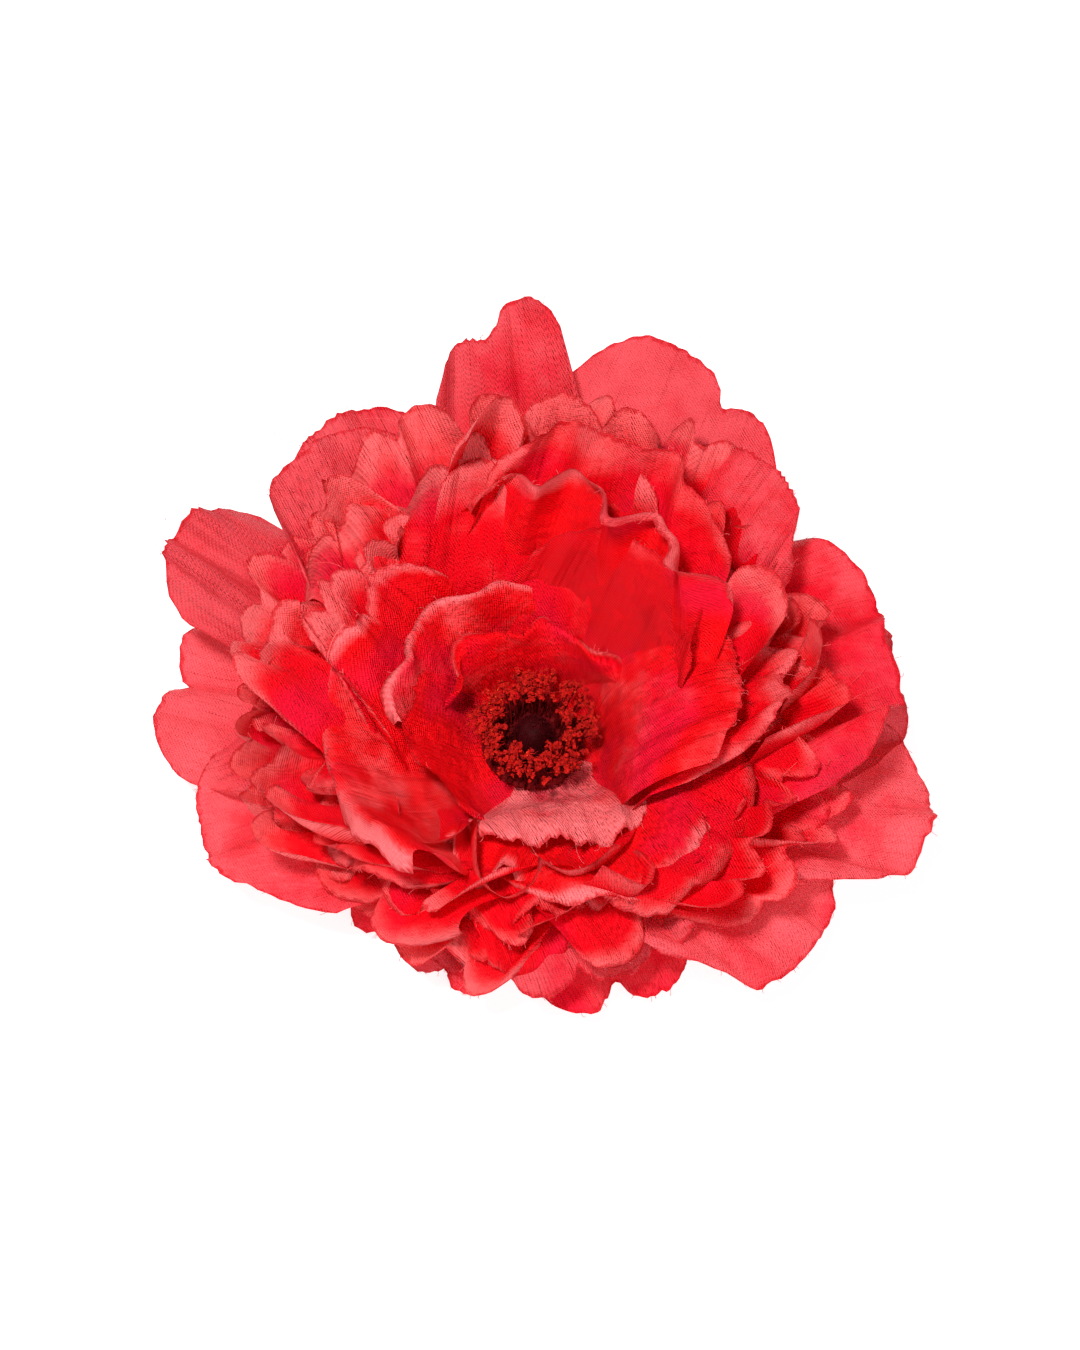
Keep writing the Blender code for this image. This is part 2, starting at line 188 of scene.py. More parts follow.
def relief(spec, u, v, share, rng):
    """Hollows pressed into up to four lobes, waves along the rim and fine creases, along the normal."""
    height = np.zeros((len(v), len(u)))
    for (middle, half, _), owned, side in zip(spec.lobes, share, (1, -1, 1, -1)):
        t = (u - middle) / half
        pressed = spec.spoon * rng.uniform(0.7, 1.3) * np.clip(1 - t * t, 0, 1)
        bowl = smooth_step(0.5, 0.82, v) * (1 - 0.8 * smooth_step(0.86, 1.02, v))
        height -= pressed * owned * bowl
        slant = tan(radians(spec.twist) * rng.uniform(-1, 1)) * spec.width / 2
        apart = (side * spec.stagger + slant * np.clip(u - middle, -half, half)) * owned
        height += apart * smooth_step(0.35, 0.9, v)
    phase = rng.uniform()
    drift = 0.35 * wave_noise(rng, v, 2, 0.3, 0.8)
    wobble = np.sin(tau * (spec.waves * u / 2 + phase + drift))
    second = np.sin(tau * (spec.waves * 1.9 * u / 2 + 2.3 * phase))
    rim = smooth_step(0.5, 1.0, v) ** 1.6
    sides = smooth_step(0.3, 1.0, np.abs(u)) * smooth_step(0.2, 0.8, v)
    height += spec.ruffle * (wobble + 0.45 * second) * (rim + 0.35 * sides)
    crease = wave_noise(rng, u, 4, 2.0, 4.5) * smooth_step(0.15, 0.6, v)
    return height + 0.36 * crease


def cut_flat(spec, full, rng):
    """The petal laid flat: places across (u, a row) and along (v, a column), each lobe's share of every
    column, each column's reach, positions, and each point's share of the way to the rim."""
    columns = max(18, int(spec.width / COLUMN_STEP)) | 1
    rows = max(24, int(full / ROW_STEP))
    u = np.linspace(-1, 1, columns)
    # rows are packed towards the outer edge, where the curls are
    v = np.linspace(0, 1, rows + 1)[:, None]
    v = v + 0.12 * np.sin(pi * v)
    v[-1] = 1
    short, share = outer_edge(spec, u)
    teeth = 0.4 * rng.uniform(-1, 1, columns)
    teeth = teeth + wave_noise(rng, u, 4, 5, 11)
    teeth = teeth + wave_noise(rng, u, 3, 1.5, 4)
    smooth_reach = np.maximum(full - short, 0.35 * full)
    reach = smooth_reach + spec.ragged * teeth
    y = v * reach
    x = half_width(spec, v) * u
    return SimpleNamespace(u=u, v=v, share=share, reach=reach, x=x, y=y, to_rim=y / smooth_reach)


def bend(spec, hub_z, cut, rng):
    """The cut petal carried along its curved midline, with its rim curled and its hollows pressed."""
    length, leave, arrive = midline(spec, hub_z)
    on_curve = (cut.y + STEM_RADIUS - spec.hub) / length
    slope = leave + (arrive - leave) * np.clip(on_curve, 0, 1.2)
    slope = slope * smooth_step(-HUB_EASE / length, HUB_EASE / length, on_curve)
    lobe_curl = rng.uniform(-1, 1, len(cut.share)) @ cut.share
    edge_curl = wave_noise(rng, cut.u, 3, 0.3, 1.4)
    curl = spec.curl + spec.curl_vary * (edge_curl * 0.7 + lobe_curl * 0.8)
    begun = smooth_step(spec.curl_from, spec.curl_to, cut.to_rim)
    turned = np.radians(curl) * begun**1.3 * 1.6

    # how far the curled line stands off the main one, along it and along its normal
    step = np.diff(cut.y, axis=0)
    radial, height = run_along(step, slope)
    curled_radial, curled_height = run_along(step, slope - turned)
    out, up = curled_radial - radial, curled_height - height
    tangent, normal = (np.cos(slope), np.sin(slope)), (-np.sin(slope), np.cos(slope))
    forward = out * tangent[0] + up * tangent[1]
    proud = out * normal[0] + up * normal[1] + relief(spec, cut.u, cut.v, cut.share, rng)

    side, lift, turn = across(spec, cut.u, cut.v, cut.x, rng)
    lift = lift + proud * np.cos(turn)
    x = STEM_RADIUS + radial + forward * tangent[0] + lift * normal[0]
    y = side - proud * np.sin(turn)
    z = hub_z + height + forward * tangent[1] + lift * normal[1]
    return swing(spec, np.stack([x, y, z], axis=-1), cut.v, hub_z)


def cloth_values(spec, cut, full):
    """What the material needs to know at each point of the petal."""
    sideways = (1 - np.abs(cut.u)) * half_width(spec, cut.v)
    side_gap = sideways + 0.25 * (1 - cut.v) * full
    azimuth = radians(spec.az)
    cut_y = cut.y + STEM_RADIUS
    along = np.broadcast_to(cut.v, cut.y.shape)
    return {
        "cut_x": cut_y * cos(azimuth) - cut.x * sin(azimuth),
        "cut_y": cut_y * sin(azimuth) + cut.x * cos(azimuth),
        "to_edge": np.minimum(cut.reach - cut.y, side_gap),
        "along": along * spec.rim,
        "vein": np.broadcast_to(cut.u, cut.y.shape) * 10 + spec.seed * 1.37,
        "tone": np.full_like(cut.y, spec.tone),
        "dull": np.full_like(cut.y, spec.dull),
    }


def petal_grid(spec, hub_z):
    """Points, faces, per-point values and area of one petal."""
    rng = np.random.default_rng(spec.seed)
    length, _, _ = midline(spec, hub_z)
    full = length + spec.hub - STEM_RADIUS
    cut = cut_flat(spec, full, rng)
    grid = bend(spec, hub_z, cut, rng)
    values = cloth_values(spec, cut, full)
    area = float(np.sum(np.diff(cut.y, axis=0) * np.abs(np.gradient(cut.x, axis=1))[:-1]))

    index = np.arange(cut.y.size).reshape(cut.y.shape)
    faces = np.stack([index[:-1, :-1], index[:-1, 1:], index[1:, 1:], index[1:, :-1]], axis=-1)
    yarn, yarn_faces, origin = loose_yarn(grid[-1], grid[-3], rng)
    points = np.vstack([grid.reshape(-1, 3), yarn])
    faces = np.vstack([faces.reshape(-1, 4), yarn_faces + index.size])
    for name, numbers in values.items():
        values[name] = np.concatenate([numbers.ravel(), numbers[-1][origin]])
    # yarn has no dark cut edge, and it gets less painted shade, so it is a little paler
    values["to_edge"][-len(yarn):] = 3.0
    values["tone"][-len(yarn):] -= 0.3
    return points, faces, values, area


YARN_RADIUS = 0.045
YARN_STEPS = 6
YARN_ENDS = 14              # loose ends on each petal
SHORT_YARN, LONG_YARN = (0.5, 1.5), (3, 8)
LONG_SHARE = 0.05           # how many are long


def loose_yarn(rim, inside, rng):
    """Loose ends of yarn along the cut edge, each a thin three-sided tube that curls away from it:
    points, faces, and the column of the petal that each point comes from."""
    points, faces, columns = [], [], []
    for _ in range(YARN_ENDS):
        column = int(rng.integers(1, len(rim) - 1))
        outward = rim[column] - inside[column]
        heading = outward / norm(outward) + rng.normal(size=3) * 0.45
        heading /= norm(heading)
        length = LONG_YARN if rng.uniform() < LONG_SHARE else SHORT_YARN
        step = rng.uniform(*length) / YARN_STEPS
        axis = np.cross(heading, rng.normal(size=3))
        side = axis / norm(axis)
        turn = radians(rng.uniform(-160, 160)) / YARN_STEPS
        spin = np.array(Matrix.Rotation(turn, 3, Vector(side)))
        place = rim[column].copy()
        for ring in range(YARN_STEPS + 1):
            third = np.cross(heading, side)
            for corner in range(3):
                angle = tau * corner / 3
                points.append(place + YARN_RADIUS * (cos(angle) * side + sin(angle) * third))
            columns += [column] * 3
            if ring:
                first = len(points) - 6
                for corner in range(3):
                    after = (corner + 1) % 3
                    faces.append((first + corner, first + after, first + 3 + after, first + 3 + corner))
            place = place + heading * step
            heading = spin @ heading
    return np.array(points), np.array(faces), np.array(columns)


def swing(spec, points, v, hub_z):
    """The petal rolled about its own line, and turned to its azimuth."""
    base = np.array([spec.hub * 0.6, 0, hub_z])
    roll = np.array(Matrix.Rotation(radians(spec.roll), 3, "X"))
    rolled = (points - base) @ roll.T + base
    ease = smooth_step(0.05, 0.5, v)[..., None]
    points = points * (1 - ease) + rolled * ease
    spin = np.array(Matrix.Rotation(radians(spec.az), 3, "Z"))
    return points @ spin.T


def petal_layer(node, hub_z, petals, material):
    """One die-cut layer of cloth as one mesh: all its petals round one hub."""
    grids = [petal_grid(spec, hub_z + PETAL_STEP * i) for i, spec in enumerate(petals)]
    points, faces, values, areas = zip(*grids)
    starts = np.cumsum([0, *(len(part) for part in points)])
    faces = [part + start for part, start in zip(faces, starts)]
    mesh = bpy.data.meshes.new(node + "_cloth")
    mesh.from_pydata((np.vstack(points) * MM).tolist(), [], np.vstack(faces).tolist())
    for name in values[0]:
        add_values(mesh, name, np.concatenate([part[name] for part in values]))
    mesh.shade_smooth()
    mesh.materials.append(material)
    layer = add_object(node + "_cloth", mesh)
    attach(layer, FLOWER)
    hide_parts(node)


# ---- materials

class Nodes:
    """Short calls for building the node tree of a new material or world."""

    def __init__(self, name, owners=bpy.data.materials):
        self.owner = owners.new(name)
        self.owner.use_nodes = True
        self.tree = self.owner.node_tree
        self.output = next(node for node in self.tree.nodes if node.type.startswith("OUTPUT"))
        self.shader = self.output.inputs["Surface"].links[0].from_node

    def node(self, kind, **settings):
        made = self.tree.nodes.new("ShaderNode" + kind)
        for name, value in settings.items():
            setattr(made, name, value)
        return made

    def put(self, socket, value):
        if isinstance(value, bpy.types.NodeSocket):
            self.tree.links.new(value, socket)
        elif socket.type == "RGBA":
            socket.default_value = (*value, 1.0)
        else:
            socket.default_value = value

    def set(self, name, value):
        self.put(self.shader.inputs[name], value)

    def fill(self, node, given):
        for name, value in given.items():
            self.put(node.inputs[name], value)
        return node

    def attribute(self, name):
        return self.node("Attribute", attribute_name=name).outputs["Fac"]

    def place(self):
        return self.node("TexCoord").outputs["Object"]

    def filled(self, kind, *values, **settings):
        """The first output of a new node whose first inputs are given in order."""
        return self.fill(self.node(kind, **settings), dict(enumerate(values))).outputs[0]

    def maths(self, operation, *values):
        return self.filled("Math", *values, operation=operation)

    def add(self, first, second):
        return self.maths("ADD", first, second)

    def times(self, first, second):
        return self.maths("MULTIPLY", first, second)

    def range(self, value, from_low, from_high, to_low=0.0, to_high=1.0):
        given = (value, from_low, from_high, to_low, to_high)
        return self.filled("MapRange", *given, interpolation_type="SMOOTHSTEP")

    def mix(self, factor, first, second):
        given = {"Factor": factor, "A": first, "B": second}
        return self.fill(self.node("Mix", data_type="RGBA"), given).outputs["Result"]

    def vector(self, x, y):
        return self.filled("CombineXYZ", x, y)

    def noise(self, vector, scale, detail=2.0, roughness=0.5):
        given = {"Vector": vector, "Scale": scale, "Detail": detail, "Roughness": roughness}
        return self.fill(self.node("TexNoise"), given).outputs["Fac"]

    def bump(self, height, strength, distance, normal=None):
        given = {"Strength": strength, "Distance": distance, "Height": height}
        if normal is not None:
            given["Normal"] = normal
        return self.fill(self.node("Bump"), given).outputs["Normal"]


MAGENTA = (0.80, 0.006, 0.050)          # random magenta patches, which show only within the painted shade
WEAR_AND_SHADE = (0.20, 0.004, 0.012)             # what the painted shade of darkened petals and random worn places tend to
THREAD_SHADE = (0.60, 0.0, 0.004)       # between the threads
THREAD_LIGHT = (1.0, 0.006, 0.011)      # on the threads
THROUGH_LIGHT = (1.0, 0.004, 0.008)     # light that has come through the cloth
TWILL_LINES, WEFT_LINES = 12.5, 19.0    # radians for each millimetre


def dye_and_painted_shade(n, flat, fleck, fade, lit, deep, edge):
    """Painted shade on the dyed cloth: from the lit colour to the shaded one by the petal's tone and the
    way to its rim, with random clouds, magenta patches, worn places, painted shade on darkened petals and
    a darker dyed cut edge. Returns the colour and the clouds."""
    along, tone = n.attribute("along"), n.attribute("tone")
    cloud = n.noise(flat, 0.09, 3.0, 0.55)
    # painted shade: the share of shaded colour grows with the petal's tone and towards its base, away
    # from the rim
    shade_share = n.add(tone, n.range(along, *fade, 0.0, 0.92))
    shade_share = n.add(shade_share, n.range(cloud, 0.3, 0.7, -0.24, 0.24))
    shade_share = n.add(shade_share, n.range(fleck, 0.3, 0.7, -0.05, 0.05))
    colour = n.mix(n.range(shade_share, 0.0, 1.0), lit, deep)
    # random magenta patches, laid only where the painted shade is deep
    patches = n.range(n.noise(flat, 0.05, 2.0), 0.48, 0.68, 0.0, 0.65)
    colour = n.mix(n.times(patches, n.range(shade_share, 0.15, 0.6)), colour, MAGENTA)
    worn = n.range(n.noise(flat, 0.07, 3.0, 0.6), 0.42, 0.70, 0.0, 0.16)
    # painted shade darkens whole petals that lie in shade, and random worn places darken more
    colour = n.mix(n.add(n.attribute("dull"), worn), colour, WEAR_AND_SHADE)
    stray = n.range(n.noise(flat, 0.8, 3.0), 0.3, 0.7, -0.45, 0.45)
    to_edge = n.add(n.attribute("to_edge"), stray)
    return n.mix(n.range(to_edge, 1.1, 0.1, 0.0, 0.75), colour, edge), cloud


def woven(n, cut_x, cut_y, cloud):
    """Height of the weave: twill lines run across the warp, and the weft shows as fine ticks."""
    twill = n.maths("SINE", n.times(n.add(cut_x, n.times(cut_y, 0.55)), TWILL_LINES))
    weft = n.maths("SINE", n.times(n.maths("SUBTRACT", cut_y, n.times(cut_x, 0.2)), WEFT_LINES))
    weave = n.add(n.times(twill, 0.7), n.times(weft, 0.35))
    return n.times(weave, n.range(cloud, 0.2, 0.8, 0.6, 1.3))


def satin(name, lit, deep, edge, fade, roughness, through):
    """Dyed and woven cloth with pressed veins, soft crumples and light that comes through it, with
    painted
    shade: the colour fades from shaded to lit between the two shares in fade."""
    n = Nodes(name)
    cut_x, cut_y = n.attribute("cut_x"), n.attribute("cut_y")
    flat = n.vector(cut_x, cut_y)
    fleck = n.noise(n.vector(n.times(cut_x, 0.35), n.times(cut_y, 2.2)), 1.0, 2.0)
    colour, cloud = dye_and_painted_shade(n, flat, fleck, fade, lit, deep, edge)
    weave = woven(n, cut_x, cut_y, cloud)
    speckle = n.noise(flat, 2.6, 2.0, 0.7)
    thread = n.add(n.times(weave, 0.7), n.range(speckle, 0.3, 0.7, -0.4, 0.4))
    colour = n.mix(n.range(thread, -1.0, 0.2, 0.62, 0.0), colour, THREAD_SHADE)
    colour = n.mix(n.range(thread, 0.0, 1.1, 0.0, 0.34), colour, THREAD_LIGHT)
    vein_place = n.vector(n.attribute("vein"), n.times(n.attribute("along"), 0.9))
    normal = n.bump(n.noise(vein_place, 1.4, 3.0, 0.6), 0.85, 0.0011)
    normal = n.bump(n.noise(flat, 0.22, 3.0, 0.55), 0.65, 0.0022, normal)
    normal = n.bump(weave, 0.8, 0.00012, normal)

    n.set("Base Color", colour)
    n.set("Roughness", n.range(weave, -1.0, 1.0, roughness + 0.1, roughness - 0.08))
    n.set("Normal", normal)
    n.set("Specular IOR Level", 0.32)
    n.set("Specular Tint", (1.0, 0.32, 0.36))
    n.set("Sheen Weight", 0.015)
    n.set("Sheen Roughness", 0.45)
    n.set("Sheen Tint", (1.0, 0.2, 0.26))
    light = n.filled("BsdfTranslucent", n.mix(0.5, colour, THROUGH_LIGHT), normal)
    both = n.filled("MixShader", through, n.shader.outputs[0], light)
    n.put(n.output.inputs["Surface"], both)
    return n.owner


def flock(name, base, tip, painted_glint, painted_glint_share, scale):
    """Short dyed fibre: base colour in its depths, tip colour on what stands out, and a few painted
    glints of highlight.
    """
    n = Nodes(name)
    place = n.place()
    raised = n.attribute("raised")
    lumps = n.noise(place, scale, 3.0, 0.6)
    sparks = n.noise(place, scale * 2.3, 2.0, 0.5)
    stands_out = n.add(raised, n.range(lumps, 0.3, 0.7, -0.2, 0.2))
    colour = n.mix(n.range(stands_out, 0.1, 1.0), base, tip)
    # painted glints: bright specks of highlight on the raised parts
    lit = n.times(n.range(sparks, 0.72 - painted_glint_share, 0.76 - painted_glint_share), raised)
    colour = n.mix(n.times(lit, 0.8), colour, painted_glint)
    n.set("Base Color", colour)
    n.set("Roughness", n.range(lumps, 0.3, 0.7, 0.62, 0.85))
    n.set("Normal", n.bump(n.noise(place, scale * 3, 3.0, 0.6), 0.5, 0.0002))
    n.set("Specular IOR Level", 0.08)
    return n.owner


def felt_cloth():
    n = Nodes("red craft felt")
    place = n.place()
    mottle = n.noise(place, 160, 4.0, 0.6)
    fibres = n.noise(place, 1400, 4.0, 0.7)
    colour = n.mix(n.range(mottle, 0.3, 0.7), (0.34, 0.012, 0.018), (0.52, 0.028, 0.036))
    colour = n.mix(n.range(fibres, 0.52, 0.72, 0.0, 0.5), colour, (0.72, 0.10, 0.10))
    n.set("Base Color", colour)
    n.set("Roughness", n.range(fibres, 0.3, 0.7, 0.85, 1.0))
    normal = n.bump(mottle, 0.4, 0.0004)
    n.set("Normal", n.bump(fibres, 0.7, 0.00025, normal))
    n.set("Specular IOR Level", 0.15)
    n.set("Sheen Weight", 0.25)
    n.set("Sheen Tint", (1.0, 0.45, 0.45))
    return n.owner


def nickel():
    """Nickel-plated spring steel: drawn along X, faintly clouded, with dull scuffs."""
    n = Nodes("nickel-plated steel")
    place = n.place()
    stretch = n.fill(n.node("Mapping"), {"Vector": place, "Scale": (60, 2600, 2600)})
    grain = n.noise(stretch.outputs[0], 1.0, 3.0, 0.6)
    cloud = n.noise(place, 220, 3.0, 0.55)
    scuff = n.noise(place, 900, 4.0, 0.65)
    colour = n.mix(n.range(cloud, 0.35, 0.7), (0.72, 0.71, 0.69), (0.56, 0.55, 0.54))
    colour = n.mix(n.range(scuff, 0.62, 0.72, 0.0, 0.5), colour, (0.30, 0.29, 0.28))
    n.set("Base Color", colour)
    n.set("Metallic", 1.0)
    roughness = n.add(n.range(grain, 0.3, 0.7, 0.20, 0.30), n.range(scuff, 0.55, 0.75, 0.0, 0.22))
    n.set("Roughness", roughness)
    n.set("Normal", n.bump(grain, 0.12, 0.00005))
    return n.owner


def moulded(name, pale, dark, roughness, through, scale):
    """Milky moulded plastic or set glue: light gets into it, with flow lines and small pits."""
    n = Nodes(name)
    place = n.place()
    flow = n.noise(place, scale, 3.0, 0.5)
    pits = n.noise(place, scale * 9, 3.0, 0.6)
    n.set("Base Color", n.mix(n.range(flow, 0.3, 0.7), pale, dark))
    n.set("Roughness", n.range(pits, 0.3, 0.7, roughness - 0.08, roughness + 0.12))
    n.set("Normal", n.bump(pits, 0.25, 0.00015))
    n.set("Subsurface Weight", through)
    n.set("Subsurface Radius", (0.0015, 0.0012, 0.0010))
    n.set("Subsurface Scale", 1.0)
    return n.owner


# ---- the layers

def lobes(count, spread, uneven, seed):
    """Evenly spaced arches for a petal with several round lobes."""
    rng = np.random.default_rng(seed)
    half = 1.04 / count
    middles = np.linspace(-spread, spread, count) + rng.uniform(-0.06, 0.06, count)
    return tuple((m, half * rng.uniform(0.9, 1.15), uneven * rng.uniform(0, 2)) for m in middles)


def around(azimuth, values):
    """A value given at equal steps of azimuth from 0, read between them."""
    places = np.linspace(0, 360, len(values) + 1)
    return float(np.interp(azimuth % 360, places, [*values, values[0]]))


GUARD_LOWER = [
    dict(az=-68, r=46.4, z=3, width=40, bend=24, lobes=lobes(2, 0.5, 1.5, 1), tone=0.7, dull=0.15),
    dict(az=20, r=73, width=54, bend=14, lobes=((-0.5, 0.5, 3.0), (0.45, 0.55, 0.0)), tone=0.1,
         dull=0.14),
    dict(az=67, r=79, z=46, width=54, bend=6, lobes=((0.34, 0.60, 0.0), (-0.6, 0.4, 6.0)), ruffle=0.6,
         curl=4, cup=10, dull=0.16, notch=7),
    dict(az=119, r=74, z=38, width=38, bend=14, lobes=((0.15, 0.9, 0.0),), tone=0.15, ruffle=1.4,
         dull=0.2),
    dict(az=236, r=42, z=4, bend=26, lobes=lobes(3, 0.6, 1.0, 2), notch=7, tone=0.5, dull=0.12),
]
GUARD_MIDDLE = [
    dict(az=-34, r=61, z=14, width=42, bend=16, lobes=((0.1, 0.8, 0.0), (-0.65, 0.4, 5.0)), tone=0.2,
         curl=16, cup=24),
    dict(az=-6, r=73, z=17, bend=18, lobes=((-0.1, 0.85, 0.0),), tone=0.1, ruffle=2.4, corner=18),
    dict(az=149, r=76.5, z=38, width=26, bend=12, waist=0.75, lobes=((0.1, 0.75, 0.0), (-0.65, 0.4, 2.5)),
         tone=0.1, ruffle=2.6, corner=6, dull=0.34),
    dict(az=164, r=71, z=18, bend=10, lobes=((-0.45, 0.5, 0.0), (0.42, 0.55, 0.0)), ruffle=2.6, notch=9,
         corner=9),
    dict(az=258, r=39, z=7, width=42, bend=24, lobes=lobes(2, 0.45, 1.5, 4), notch=7, tone=0.45,
         dull=0.12),
]
GUARD_UPPER = [
    dict(az=18, r=68, z=34, width=60, bend=16, lobes=((-0.35, 0.6, 1.5), (0.35, 0.65, 0.0)), tone=0.6,
         ruffle=2.4, waves=3.0),
    dict(az=49, r=62, z=50, width=38, bend=10, tone=0.4, corner=10),
    dict(az=95, r=82, z=51, width=29, bend=6, lobes=((-0.5, 0.5, 0.0), (0.35, 0.55, 7.0)), tone=0.3,
         ruffle=1.3, curl=6, waist=0.8, corner=5, tip_width=0.8, dull=0.24),
    dict(az=128, r=66, z=46, width=40, bend=14, tone=0.12, cup=30, spoon=2.6, dull=0.12),
    dict(az=192, r=62, z=15, width=46, bend=22, lobes=((-0.2, 0.8, 0.0),), tone=0.3, cup=26),
    dict(az=-70, r=45, z=17, width=50, bend=30, lobes=lobes(3, 0.62, 1.0, 5), notch=7, tone=0.25,
         dull=0.22),
]

# how far out and how high the tips come, every 30 degrees from azimuth 0, in the frill's lowest
# layer and at the cup, which its higher layers approach
FRILL_REACH = (62, 62, 62, 62, 62, 61, 58, 54, 44, 42, 49, 59)
FRILL_RISE = (28, 40, 50, 56, 52, 43, 32, 25, 19, 18, 18, 21)
CUP_REACH = (44, 43, 41, 40, 41, 43, 44, 42, 36, 33, 36, 42)
CUP_RISE = (45, 50, 57, 60, 56, 50, 43, 38, 35, 34, 34, 38)

# the azimuth of the first petal of each of the frill's layers, and how many petals a layer has
FRILL_TURNS = (0, 30, 10, 40, 20)
FRILL_COUNT = 6
FRILL_SHARED = dict(notch=8.5, corner=4, twist=14, curl_vary=34, curl_from=0.72, ragged=0.16)


def frill(level):
    """One layer of many-lobed petals between the guard petals and the cup, and what they share."""
    seed = 11 + level
    rng = np.random.default_rng(seed)
    share = level / len(FRILL_TURNS)
    petals = []
    for i in range(FRILL_COUNT):
        azimuth = FRILL_TURNS[level] + 360 * i / FRILL_COUNT + rng.uniform(-9, 9)
        radius = (1 - share) * around(azimuth, FRILL_REACH) + share * around(azimuth, CUP_REACH)
        height = (1 - share) * around(azimuth, FRILL_RISE) + share * around(azimuth, CUP_RISE)
        # painted shade is deeper at the right and the front of the bloom
        tone = 0.17 + 0.15 * share + 0.22 * cos(radians(azimuth + 40))
        # and the petals at the left have one more lobe
        one_more = 100 < azimuth % 360 < 210
        petals.append(
            dict(
                az=azimuth, r=radius + rng.uniform(-2, 2), z=height + rng.uniform(-2, 2),
                width=rng.uniform(42, 50) - 5 * share, bend=rng.uniform(15, 55),
                lobes=lobes(int(rng.integers(3, 6)) + one_more, 0.72, 2.4, seed * 10 + i),
                spoon=rng.uniform(2.4, 4.2), stagger=rng.uniform(0.8, 2.2),
                ruffle=rng.uniform(0.4, 1.2), waves=rng.uniform(1.0, 2.0), curl=rng.uniform(-20, 40),
                curl_to=rng.uniform(0.92, 1.04), cup=rng.uniform(6, 34), roll=rng.uniform(-9, 9),
                tone=tone + rng.uniform(-0.14, 0.14),
            )
        )
    return petals, dict(hub=13 - 2 * share, **FRILL_SHARED)


CUP_OUTER = [
    dict(az=68, r=45, z=62, width=50, bend=2, cup=30, ruffle=3.0, waves=2.6, tone=0.35, spoon=0.4,
         corner=8),
    dict(az=12, r=46, z=46, width=40, curl=30, cup=26, ruffle=2.0, tone=0.3, lobes=lobes(3, 0.6, 1.5, 42),
         notch=8, twist=20, spoon=2.5),
    dict(az=-34, r=45, z=36, bend=24, curl=75, cup=30, tone=0.4, ragged=0.35),
    dict(az=-100, r=37, z=29, bend=24, curl=20, cup=24, ruffle=2.2, tone=0.5,
         lobes=lobes(3, 0.6, 1.5, 44), notch=7, twist=20, spoon=2, ragged=0.35),
    dict(az=208, r=45, z=36, width=42, bend=16, curl=50, cup=26, tone=0.2, lobes=lobes(3, 0.6, 1.5, 45),
         notch=8, twist=24, spoon=3, stagger=1.0),
    dict(az=142, r=43, z=52, width=42, bend=4, curl=30, cup=26, ruffle=1.4, tone=0.2,
         lobes=lobes(4, 0.66, 1.5, 46), notch=9, twist=26, spoon=3, stagger=1.4),
]
CUP_MIDDLE = [
    dict(az=66, r=36, z=62, width=54, bend=-8, curl=-55, curl_from=0.86, curl_vary=45, cup=34, ruffle=3.6,
         waves=3.2, tone=0.35, spoon=0.2, ragged=0.3, corner=6),
    dict(az=-50, r=38, z=35, width=46, curl=18, cup=26, ruffle=1.4, tone=0.12, spoon=0.4),
    dict(az=-112, r=31, z=34, width=36, bend=18, curl=60, cup=20, ruffle=2.6, waves=3.2, tone=0.3,
         lobes=lobes(3, 0.6, 1.0, 47), ragged=0.5),
    dict(az=152, r=35, z=52, width=38, bend=0, curl=20, cup=30, ruffle=1.8, tone=0.45,
         lobes=lobes(2, 0.5, 1.0, 48), notch=7, twist=20, spoon=2),
]
CUP_INNER = [
    dict(az=184, r=42, z=45, width=66, bend=6, curl=80, curl_from=0.80, curl_to=0.88, curl_vary=12,
         cup=54, ruffle=1.4, waves=2.0, tone=-0.1, ragged=0.5, corner=6, rim=1.04),
    dict(az=136, r=25, z=48, width=40, bend=-14, curl=90, curl_from=0.89, curl_to=0.94, cup=44,
         ruffle=1.4, tone=-0.1, ragged=0.4, corner=5),
    dict(az=50, r=31, z=55, width=42, bend=-10, curl=4, cup=40, ruffle=0.9, tone=0.9, dull=0.28,
         ragged=0.35, corner=8),
    dict(az=7, r=36, z=46, width=34, hub=11.0, bend=66, curl=4, cup=4, side_curl=4, ruffle=1.0, waves=3.4,
         tone=-0.02, rim=0.89, ragged=0.35, corner=4, tip_width=0.95, waist=0.5),
]
HEART = [
    dict(az=96, r=14.5, z=46, width=36, hub=10.0, bend=-4, curl=90, curl_from=0.84, curl_to=0.9,
         curl_vary=20, cup=50, waves=2.6, tone=0.1, rim=0.96, ragged=0.5, corner=6),
    dict(az=-74, r=25, z=35, width=35, bend=58, curl=14, curl_vary=20, cup=2, side_curl=6, ruffle=1.0,
         waves=3.0, tone=-0.6, rim=1.15, lobes=((-0.45, 0.5, 2.5), (0.4, 0.6, 0.0)), notch=4, spoon=0.4,
         ragged=0.5, corner=4),
    dict(az=188, r=22, z=40, width=34, bend=0, cup=40, ruffle=0.8, tone=0.9, ragged=0.4, corner=6),
]


# each satin has a lit and a shaded copy of its colour, which the painted shade blends between
SATINS = {
    "guard_satin": dict(
        lit=(0.86, 0.128, 0.152), deep=(0.86, 0.003, 0.024), edge=(0.46, 0.002, 0.010),
        fade=(0.95, 0.3), roughness=0.54, through=0.34,
    ),
    "petal_satin": dict(
        lit=(0.97, 0.165, 0.172), deep=(0.90, 0.0003, 0.008), edge=(0.46, 0.001, 0.008),
        fade=(0.99, 0.80), roughness=0.50, through=0.33,
    ),
    "heart_satin": dict(
        lit=(0.98, 0.205, 0.215), deep=(0.86, 0.0003, 0.003), edge=(0.46, 0.001, 0.006),
        fade=(0.98, 0.84), roughness=0.52, through=0.20,
    ),
}


